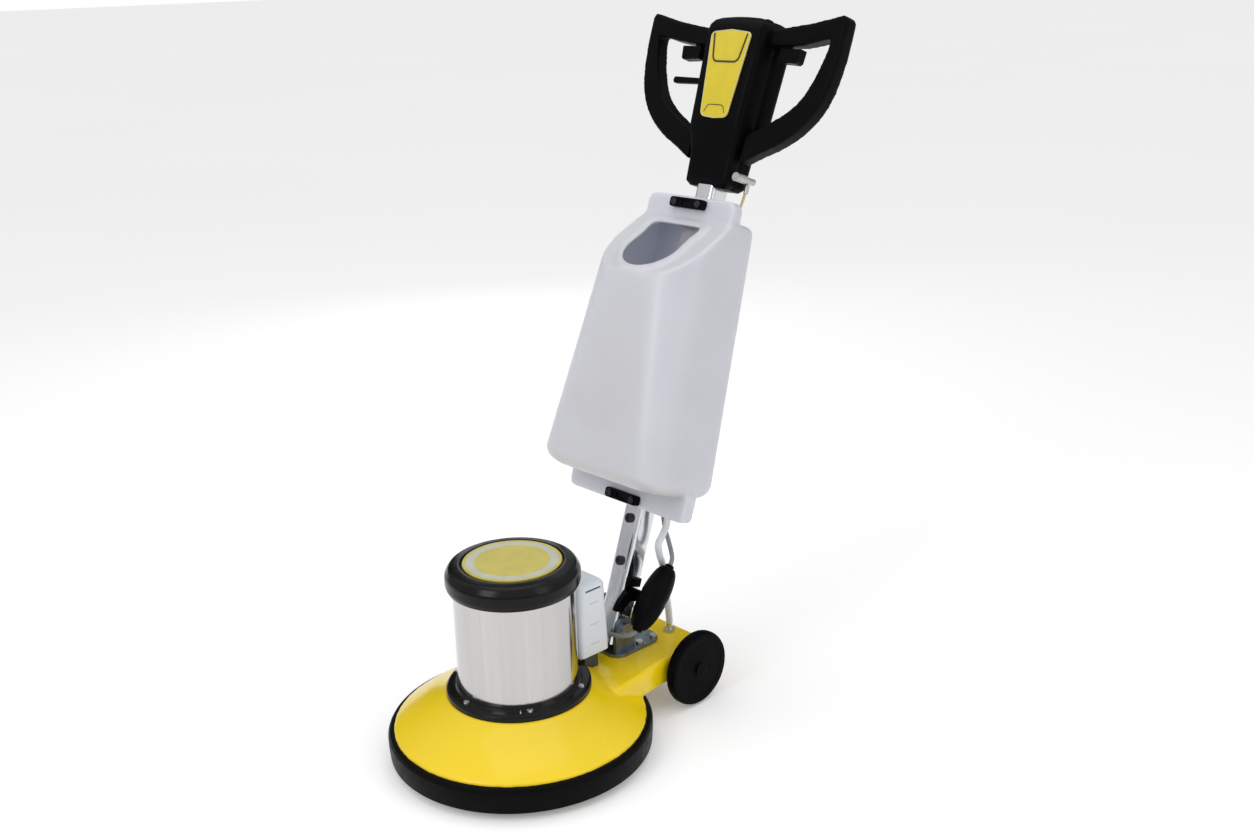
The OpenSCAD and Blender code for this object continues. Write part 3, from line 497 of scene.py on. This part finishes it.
def snap_deck(deck, line):
    """Puts the relaxed points that lie near the true dome or flat faces back on them."""
    mesh = deck.data
    co = np.empty(len(mesh.vertices) * 3)
    mesh.vertices.foreach_get("co", co)
    p = co.reshape(-1, 3) / MM
    r = np.hypot(p[:, 0], p[:, 1])
    dome_r = np.array([q[0] for q in line])[::-1]
    dome_z = np.array([q[1] for q in line])[::-1]
    target = np.interp(r, dome_r, dome_z)
    gap = np.abs(p[:, 2] - target)
    near = (r < DECK_R - 3) & (gap < 1.6)
    keep = np.clip((1.6 - gap) / 0.6, 0, 1)
    p[near, 2] += (target - p[:, 2])[near] * keep[near]
    flat = (p[:, 1] > 190) & (np.abs(p[:, 2] - NECK_TOP) < 0.8)
    p[flat, 2] = NECK_TOP
    mesh.vertices.foreach_set("co", (p * MM).ravel())
    mesh.update()


def add_bumper():
    profile = rounded([(DECK_R - 4, 12, 0), (BUMPER_R - 1.5, 12, 5), (BUMPER_R, 34, 30),
                       (BUMPER_R, RIM_Z - 7, 8), (BUMPER_R - 4, RIM_Z - 0.3, 4),
                       (DECK_R - 4, RIM_Z - 0.3, 0)], 8)
    dress(revolve("bumper", profile, 180), "base", "bumper_rubber", "bumper_ring")


# ---- motor ----

CAP_R, CAP_TOP, LABEL_R = 110, 339, 80
BOX_MID_Y, SLOT_FLOOR_X = 140, 33.15
BOX_SLOTS = ((250, 34, 3), (151, 20, 2), (187, 20, 2), (226, 20, 2))  # height, width, opening


def add_motor():
    low = SHELL_TOP - 6
    profile = rounded([
        (SHELL_R + 0.6, low, 0), (CAP_R - 3, low, 5), (CAP_R, low + 9, 12), (CAP_R, CAP_TOP - 16, 14),
        (CAP_R - 8, CAP_TOP - 2.5, 12), (LABEL_R + 6, CAP_TOP, 10), (LABEL_R + 1.5, CAP_TOP - 1.9, 1),
        (0, CAP_TOP - 1.9, 0), (0, CAP_TOP - 6, 0), (CAP_R - 14, CAP_TOP - 6, 4),
        (CAP_R - 6, CAP_TOP - 18, 4), (CAP_R - 6, SHELL_TOP + 2.2, 0), (SHELL_R + 0.6, SHELL_TOP + 2.2, 0),
    ], 10)
    dress(revolve("cap_cover", profile, 180), "base", "black_paint", "motor_cap")
    profile = rounded([
        (12, DECK_TOP, 0), (FLANGE_R, DECK_TOP, 0), (FLANGE_R, DECK_TOP + 8, 4),
        (FLANGE_R - 4, DECK_TOP + 11.5, 4), (SHELL_R + 6, DECK_TOP + 13, 3), (SHELL_R + 3, SHELL_LOW, 2),
        (12, SHELL_LOW, 0),
    ], 6)
    dress(revolve("flange_cover", profile, 180), "base", "black_paint", "motor_flange")
    profile = rounded([(SHELL_R - 1.2, SHELL_LOW, 0), (SHELL_R, SHELL_LOW, 0), (SHELL_R, SHELL_LOW + 90, 0),
                       (SHELL_R, SHELL_TOP, 0), (SHELL_R - 1.2, SHELL_TOP, 0)])
    dress(revolve("shell_cover", profile, 180), "base", "stainless", "motor_shell")
    add_shell_seam()


def add_shell_seam():
    """The welded seam of the rolled shell, a fine raised bead, and the lug that locates it."""
    turn = Matrix.Rotation(math.radians(-72), 4, "Z")
    bead = block("shell_seam", (SHELL_R - 0.5, -0.35, SHELL_LOW + 0.5), (SHELL_R + 0.12, 0.35, SHELL_TOP - 7),
                 MACHINE @ turn)
    dress(bead, "base", "stainless")
    turn = Matrix.Rotation(math.radians(-38), 4, "Z")
    lug = bevelled(block("shell_lug", (SHELL_R + 2, -0.9, DECK_TOP + 9), (SHELL_R + 14, 0.9, DECK_TOP + 15),
                         MACHINE @ turn), 0.4, 2)
    dress(lug, "base", "zinc_fasteners")


def add_box_slot_shade():
    """Painted shade: near-black sheets set at the floor of the slots in the two sides of the capacitor box,
    standing in for the shade inside the openings.
    """
    # painted shade: this near-black surface stands in for the shade that falls inside the slot openings
    dark = surface("slot_painted_shade", (0.02, 0.022, 0.025), 0.6, mottle=(90, 0.2))
    parts = []
    for side in (-1, 1):
        near, far = sorted((side * SLOT_FLOOR_X, side * (SLOT_FLOOR_X + 0.3)))
        for z, wide, tall in BOX_SLOTS:
            parts.append(block("slot", (near, BOX_MID_Y - wide / 2, z - tall / 2),
                               (far, BOX_MID_Y + wide / 2, z + tall / 2)))
    dress(joined("box_slot_painted_shade", parts), "base", "black_plastic", material=dark)


# ---- wheels, brush ----

def add_wheels():
    radius, half = 67, 9.5
    profile = rounded([
        (8.2, -half, 0), (20, -half, 1.5), (23, -half + 4, 1.5), (radius - 15, -half + 4, 2),
        (radius - 12, -half, 2), (radius - 2, -half, 4), (radius, -half + 6, 5), (radius, half - 6, 5),
        (radius - 2, half, 4), (radius - 13, half, 3), (radius - 16, half - 0.7, 2), (18, half - 0.7, 3),
        (16, half, 2), (8.2, half, 0),
    ], 6)
    for side, name in ((1, "left_wheel"), (-1, "right_wheel")):
        low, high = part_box(name)
        centre = (low + high) / 2
        place = Matrix.Translation(centre) @ Matrix.Rotation(side * math.pi / 2, 4, "Y") @ MACHINE
        wheel = revolve(name + "_tyre", profile, 144, place)
        dress(wheel, name, "wheel_rubber", name)


TUFT_RINGS, TUFT_FIRST_R, TUFT_STEP, TUFT_GAP = 11, 70, 11.6, 12.5


def add_bristles():
    """Rings of nylon tufts, each a bundle that splays a little towards the floor."""
    verts, faces = [], []
    sides, low, high = 6, 0.0, 24.2
    for ring in range(TUFT_RINGS):
        at_r = TUFT_FIRST_R + TUFT_STEP * ring
        count = int(math.tau * at_r / TUFT_GAP)
        for k in range(count):
            a = math.tau * (k + 0.5 * (ring % 2)) / count
            top = Vector((at_r * math.cos(a), at_r * math.sin(a), high))
            lean = Vector((math.cos(a), math.sin(a), 0)) * (1.6 if ring > 4 else -1.2)
            for end, level, r in ((0, high, 2.6), (1, low, 3.6)):
                mid = top + lean * end
                for s in range(sides):
                    b = math.tau * s / sides + a
                    verts.append((mid.x + r * math.cos(b), mid.y + r * math.sin(b), level))
            base = len(verts) - 2 * sides
            faces += [(base + s, base + (s + 1) % sides, base + sides + (s + 1) % sides, base + sides + s)
                      for s in range(sides)]
            faces.append(tuple(base + s for s in range(sides))[::-1])
            faces.append(tuple(base + sides + s for s in range(sides)))
    dress(make("brush_tufts", verts, faces, MACHINE, 70), "brush", "nylon_bristle", "bristles")


# ---- tank ----

TANK_LOW_W, TANK_HIGH_W, TANK_FRONT, TANK_BACK = 144, 102, 139, 15
TAB_LOW, BULGE_LOW, LEG_HIGH, TAB_HIGH = 217, 257, 719, 751
SHOULDER_Y, SHOULDER_T, CHANNEL = -44, 716, 24
TAB_FRONT, TAB_BACK = -47, -22
CLIP_LEVELS = (229, 738)


def tank_ring(t, cut_in, pull, steps=10):
    """One level of the tank's outline: flat back, wide front corners."""
    u = (t - BULGE_LOW) / (LEG_HIGH - BULGE_LOW)
    w = TANK_LOW_W - (t - TAB_LOW) * (TANK_LOW_W - TANK_HIGH_W) / (TAB_HIGH - TAB_LOW) - cut_in - pull
    f = TANK_FRONT + 4 + 18 * u - cut_in - 1.3 * pull
    b = TANK_BACK - cut_in - pull / 2
    rx, ry = 34 + 56 * u, 42 + 44 * u
    out = []
    for cx, cy, ax, ay, start in ((w - 12, b - 12, 12, 12, 0), (-w + 12, b - 12, 12, 12, 90),
                                  (-w + rx, -f + ry, rx, ry, 180), (w - rx, -f + ry, rx, ry, 270)):
        for i in range(steps + 1):
            a = math.radians(start + 90 * i / steps)
            out.append((cx + ax * math.cos(a), cy + ay * math.sin(a), t))
    return out


def tank_solid(name, cut_in):
    low, high, edge = BULGE_LOW + cut_in, LEG_HIGH - cut_in, 30 - cut_in
    rings = [tank_ring(low + edge * (1 - math.cos(a)), cut_in, edge * (1 - math.sin(a)))
             for a in (math.radians(9 * k) for k in range(11))]
    rings += [tank_ring(low + edge + (high - low - edge - 14) * k / 24, cut_in, 0) for k in range(1, 25)]
    rings += [tank_ring(high - 14 + 14 * math.sin(a), cut_in, 14 * (1 - math.cos(a)))
              for a in (math.radians(18 * k) for k in range(1, 6))]
    return loft(name, rings, HANDLE)


def mouth_outline(grow):
    """The mouth in the shoulder's plane: a half round at the front and a straight rear edge."""
    r = 56 + grow
    arc = [(r * math.cos(a), -90 + r * math.sin(a))
           for a in (math.radians(180 + 7.5 * k) for k in range(25))]
    corner = 14 + grow
    return arc + rounded([(r - 2, -60, 0), (58 + grow, -24 + grow, corner), (-58 - grow, -24 + grow, corner),
                          (-r + 2, -60, 0)], 6)


def add_tank():
    shoulder = HANDLE @ Matrix.Translation((0, SHOULDER_Y, SHOULDER_T)) @ Matrix.Rotation(math.pi / 4, 4, "X")
    tank = tank_solid("tank_body", 0)
    cut(tank, block("above", (-200, -320, 0), (200, 11, 260), shoulder))
    lip = slab("lip", mouth_outline(11), -12, 3.4, shoulder, "Z")
    cut(tank, lip, "UNION")
    for t, half, tall in ((TAB_HIGH - 30, TANK_HIGH_W - 2, 60), (TAB_LOW + 28, TANK_LOW_W - 3, 56)):
        tab = rounded([(-half, t - tall / 2, 14), (half, t - tall / 2, 14), (half, t + tall / 2, 16),
                       (-half, t + tall / 2, 16)])
        cut(tank, slab("tab", tab, TAB_FRONT, TAB_BACK, HANDLE), "UNION")
    panel = rounded([(-88, 335, 16), (88, 335, 16), (70, 560, 16), (-70, 560, 16)])
    floor_y = [-TANK_FRONT - 3.1 - 18 * (t - BULGE_LOW) / (LEG_HIGH - BULGE_LOW) for x, t in panel]
    back = [(x, y, t) for (x, t), y in zip(panel, floor_y)]
    cut(tank, loft("recess", [[(x, y - 40, t) for x, y, t in back], back], HANDLE))
    cut(tank, block("channel", (-CHANNEL, -CHANNEL, 0), (CHANNEL, 176, 900), HANDLE))
    soften(tank, 3.4, 9)
    inner = tank_solid("inner", 4.5)
    cut(inner, block("above", (-200, -320, -4.5), (200, 11, 260), shoulder))
    cut(inner, block("channel", (-CHANNEL - 4, -CHANNEL - 4, 0), (CHANNEL + 4, 176, 900), HANDLE))
    cut(inner, slab("neck", mouth_outline(-1), -34, 30, shoulder, "Z"), "UNION")
    soften(inner, 3.8, 6)
    cut(tank, inner)
    tidy(tank, 60)
    dress(tank, "handle", "milky_plastic", "tank_shell")


def add_clips():
    """Two-screw clips that hold the tank's tabs to the tube clamps."""
    parts = []
    for t in CLIP_LEVELS:
        plate = rounded([(-39, t - 8.5, 6), (39, t - 8.5, 6), (39, t + 8.5, 6), (-39, t + 8.5, 6)])
        clip = slab("clip", plate, TAB_FRONT - 9.1, TAB_FRONT - 0.1, HANDLE)
        well = rounded([(-12, t - 5, 3), (12, t - 5, 3), (12, t + 5, 3), (-12, t + 5, 3)])
        cut(clip, slab("well", well, TAB_FRONT - 12, TAB_FRONT - 6.1, HANDLE))
        parts.append(bevelled(clip, 1.6, 3))
    clips = joined("tank_clip_plates", parts)
    tidy(clips, 40)
    dress(clips, "handle", "black_plastic", "tank_clips")


# ---- head ----

HEAD_FACE, SPLIT_Y, GRIP_Y = -36, -2, -3
HEAD_LEVELS = [
    (774, 40, 42, -18, 24, 7), (781, 47, 50, -24, 29, 9), (800, 47.5, 52, -25, 29.5, 10),
    (826, 48, 54, -26, 30, 11), (850, 50.5, 63, -30, 31, 11), (876, 54, 75, HEAD_FACE, 32, 12),
    (930, 56, 78, HEAD_FACE, 32.6, 12), (985, 58.5, 80.5, HEAD_FACE, 33.3, 12),
    (1036, 61, 83, HEAD_FACE, 34, 12), (1046, 59.5, 81, HEAD_FACE + 1.5, 30.5, 12),
    (1053, 55, 75.5, HEAD_FACE + 6, 25, 11), (1057, 47, 66, HEAD_FACE + 13, 18, 10),
]


def head_ring(t, wf, wr, yf, yb, r):
    plan = rounded([(wr, yb, r), (wr / 3, yb, 0), (0, yb, 0), (-wr / 3, yb, 0), (-wr, yb, r),
                    (-wf, yf, r), (-wf / 3, yf, 0), (0, yf, 0), (wf / 3, yf, 0), (wf, yf, r)], 5)
    arch = max(0, t - 1040) / 17 * 5
    return [(x, y, t + arch * (1 - (x / 70) ** 2)) for x, y in plan]


def add_head():
    for name, node, side in (("head_cover_front", "head_front", -1), ("head_cover_back", "head_back", 1)):
        shell = loft(name, [head_ring(*level) for level in HEAD_LEVELS], Matrix.Identity(4))
        bm = bmesh.new()
        bm.from_mesh(shell.data)
        gap = 0.35
        every = bm.verts[:] + bm.edges[:] + bm.faces[:]
        bmesh.ops.bisect_plane(bm, geom=every, plane_co=(0, SPLIT_Y + side * gap, 0),
                               plane_no=(0, -side, 0), clear_outer=True)
        bmesh.ops.holes_fill(bm, edges=[e for e in bm.edges if len(e.link_faces) == 1], sides=0)
        bm.to_mesh(shell.data)
        bm.free()
        shell.data.transform(HANDLE)
        if side < 0:
            ears = []
            ear = rounded([(0, 0.8, 0), (8.6, 0.8, 2), (8.6, 13.5, 4), (0, 13.5, 0)])
            for x in (-50, 50):
                place = HANDLE @ Matrix.Translation((x, -3, 1053)) @ Matrix.Rotation(math.pi / 2, 4, "X")
                ears.append(revolve("ear", ear, 48, place))
            shell = joined(name, [shell] + ears)
        else:
            for x in (-58, 58):
                for t in (895, 1030):
                    place = HANDLE @ Matrix.Translation((x, 36, t)) @ Matrix.Rotation(math.pi / 2, 4, "X")
                    cut(shell, revolve("screw_well", [(0, -2), (4.6, -2), (4.4, 12), (0, 12)], 32, place))
        bevelled(shell, 0.8, 2)
        tidy(shell, 38)
        dress(shell, "handle", "black_plastic", node)


LEVER_PIN = (-68, 955)
LOOP_OUTER = [(58, 1044), (90, 1047), (150, 1056), (204, 1068), (212, 1067.5), (217, 1061), (217.5, 1050),
              (216, 1000), (209, 952), (194, 914), (167, 881), (131, 855), (96, 838), (58, 818)]
LOOP_WINDOW = [(58, 868), (88, 881), (100, 888), (130, 905), (158, 930), (177, 966), (188, 1002),
               (192, 1026), (187, 1030), (136, 1020), (58, 1016)]


def add_grips():
    parts = []
    for side in (-1, 1):
        outer, window = ([(side * p.x, p.y) for p in smooth_line(line, 4)]
                         for line in (LOOP_OUTER, LOOP_WINDOW))
        grip = slab("grip", outer, GRIP_Y - 14.5, GRIP_Y + 14.5, HANDLE)
        cut(grip, slab("window", window, GRIP_Y - 40, GRIP_Y + 40, HANDLE))
        parts.append(soften(grip, 2.6, 14))
    grips = joined("grip_handles", parts)
    tidy(grips, 60)
    dress(grips, "handle", "black_plastic", "grip_loops")


def add_solution_lever():
    x, t = LEVER_PIN
    plan = rounded([(x + 7, t + 7, 6), (x - 4, t + 7, 5), (x - 12, t + 5, 8), (x - 75, t + 5.8, 5.6),
                    (x - 75, t - 5.8, 5.6), (x - 12, t - 5, 8), (x - 4, t - 7, 5), (x + 7, t - 7, 6)])
    lever = bevelled(slab("lever_grip", plan, -8.5, 3.2, HANDLE), 2.6, 4)
    tidy(lever, 45)
    dress(lever, "solution_lever", "black_plastic", "solution_lever")


def add_panel():
    face = HEAD_FACE - 0.1
    outline = rounded([(-45, 1032, 9), (0, 1036.5, 40), (45, 1032, 9), (30, 889, 12), (0, 886.5, 30),
                       (-30, 889, 12)], 8)
    panel = bevelled(slab("panel_plate", outline, face - 3.2, face, HANDLE), 1.0, 3)
    tidy(panel, 40)
    dress(panel, "handle", "yellow_label", "yellow_panel")
    pale = surface("panel_edge", (0.62, 0.58, 0.36), 0.4, mottle=(60, 0.08))
    rim = [(x * 0.985, face - 2.9, 961 + (t - 961) * 0.99) for x, t in outline]
    edge = tube("panel_rim", rim + rim[:2], 0.75, 8, HANDLE, 1)
    dress(edge, "handle", "yellow_label", material=pale)
    ink = surface("panel_line", (0.025, 0.03, 0.03), 0.5, mottle=(90, 0.2))
    well = rounded([(-42, 1060, 0), (-37, 1029, 0), (-28, 982, 12), (28, 982, 12), (37, 1029, 0)], 6)[1:]
    parts = [tube("line", [(x, face - 3.0, t) for x, t in well], 1.8, 8, HANDLE, 1)]
    arc = rounded([(-23, 896, 0), (-17, 909, 9), (17, 909, 9), (23, 896, 0)], 6)
    parts.append(tube("line", [(x, face - 3.1, t) for x, t in arc], 0.8, 8, HANDLE, 1))
    dress(joined("panel_lines", parts), "handle", "black_plastic", material=ink)


# ---- cables and hose ----

HOSE_R, LEAD_R, CABLE_R = 6, 4, 2.4


def handle_points(points):
    return [HANDLE @ Vector(p) for p in points]


def add_cables():
    metres = Matrix.Identity(4)
    hose = handle_points([(58, 2, 233), (58, 2.5, 228), (58, 8, 212), (55, 14, 194), (52, 12, 174),
                          (50, 10, 159), (47, 23, 140), (43, 40, 123), (36, 58, 100), (29, 78, 74),
                          (25, 98, 46)])
    hose += [Vector((0.025, 0.328, 0.126)), Vector((0.025, 0.328, 0.1165))]
    piece = tube("hose", hose, HOSE_R * MM, 20, metres, 7)
    piece.data.materials.append(MATERIALS["hose_tube"])
    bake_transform(piece)
    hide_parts("solution_hose")

    tilt, long = math.radians(22.5), 128
    foot = Vector((64, -12, 9))
    axis = Vector((0, math.sin(tilt), math.cos(tilt)))
    lead = [(20.3, 10, 252), (28, 10, 250), (36, 11, 245), (38.5, 13, 236), (38.5, 16, 220), (40, 19, 205),
            (44, 27, 184), (49, 35, 167), (55, 41, 150), (61, 41, 138), foot + axis * (long - 1)]
    piece = tube("upper_lead", handle_points(lead), LEAD_R * MM, 16, metres, 6)
    dress(piece, "handle", "lead_sheath", "power_lead")

    lower = [Vector(p) * MM for p in (
        (16, 176, 144), (16, 181.1, 144), (16.5, 184, 144), (19.5, 187.5, 144.5),
        (27, 189.3, 145), (38, 190.5, 146.5), (50, 194, 149), (60, 201, 152.5))]
    lower.append(HANDLE @ (foot + axis * 1.0))
    piece = tube("box_lead", lower, LEAD_R * MM, 16, metres, 6)
    piece.data.materials.append(MATERIALS["lead_sheath"])
    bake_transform(piece)
    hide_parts("lower_lead")

    pull = [(58, 19, 776), (56, 19, 760), (52, 19, 730), (50, 19, 640), (50, 19, 520), (50, 19, 400),
            (50, 19, 300), (51, 19, 275), (52, 17, 253)]
    piece = tube("valve_cable", handle_points(pull), CABLE_R * MM, 12, metres, 6)
    dress(piece, "handle", "yellow_cable", "pull_cable")

    half = long / 2
    profile = [(0, 0), (7, 0), (8.6, 1.5), (8.6, 5)]
    for k in range(1, 30):
        a = math.pi * k / 30
        z = half - (half - 5) * math.cos(a)
        r = 8.4 + 16.6 * math.sin(a)
        if abs(z - half) < 2:
            r -= 1.3
        profile.append((r, z))
    profile += [(8, long - 5), (8, long - 2), (6.2, long), (0, long)]
    place = HANDLE @ Matrix.Translation(foot) @ Matrix.Rotation(-tilt, 4, "X")
    dress(revolve("cable_connector", profile, 48, place, 50), "handle", "connector_rubber", "connector")


# ---- CAD nodes that stay ----

def dress_nodes():
    """Materials by the record's slots, softened edges on the sheet metal and moulded small parts."""
    softened = {"hinge_bracket": 0.8, "release_lever": 1.2, "lever_mount": 0.8, "tank_clamps": 0.6,
                "left_trigger": 2.0, "right_trigger": 2.0, "solution_lever": 1.6, "box_stand": 0.8,
                "lock_button": 1.0, "tube_screws": 0.7, "cable_adjuster": 0.8, "deck_bolts": 0.5,
                "cord_inlet": 0.6, "cable_glands": 0.5, "wheel_axle": 0.4, "pivot_pin": 0.6,
                "feed_elbow": 0.4, "capacitor_box": 0.6}
    for name, obj in frame["nodes"].items():
        obj.data.materials.clear()
        obj.data.materials.append(MATERIALS[SLOT_OF[name]])
        for polygon in obj.data.polygons:
            polygon.use_smooth = True
        if name in softened:
            bevel = obj.modifiers.new("soft_edges", "BEVEL")
            bevel.width = softened[name] * MM
            bevel.segments = 2
            bevel.limit_method = "ANGLE"
            bevel.angle_limit = math.radians(50)
        split = obj.modifiers.new("edge_split", "EDGE_SPLIT")
        split.split_angle = math.radians(35)
    plate = surface("cap_label", (0.52, 0.44, 0.07), 0.4, mottle=(30, 0.08), grain=(500, 0.04),
                    rough_swing=0.08)
    for name, finish in (("wheel_axle", MATERIALS["wheel_rubber"]),
                         ("clip_screws", MATERIALS["black_screws"]), ("cap_plate", plate)):
        frame["nodes"][name].data.materials[0] = finish


add_camera()
add_studio()
add_floor()
dress_nodes()
add_deck()
add_bumper()
add_motor()
add_box_slot_shade()
add_wheels()
add_bristles()
add_tank()
add_clips()
add_head()
add_grips()
add_solution_lever()
add_panel()
add_cables()
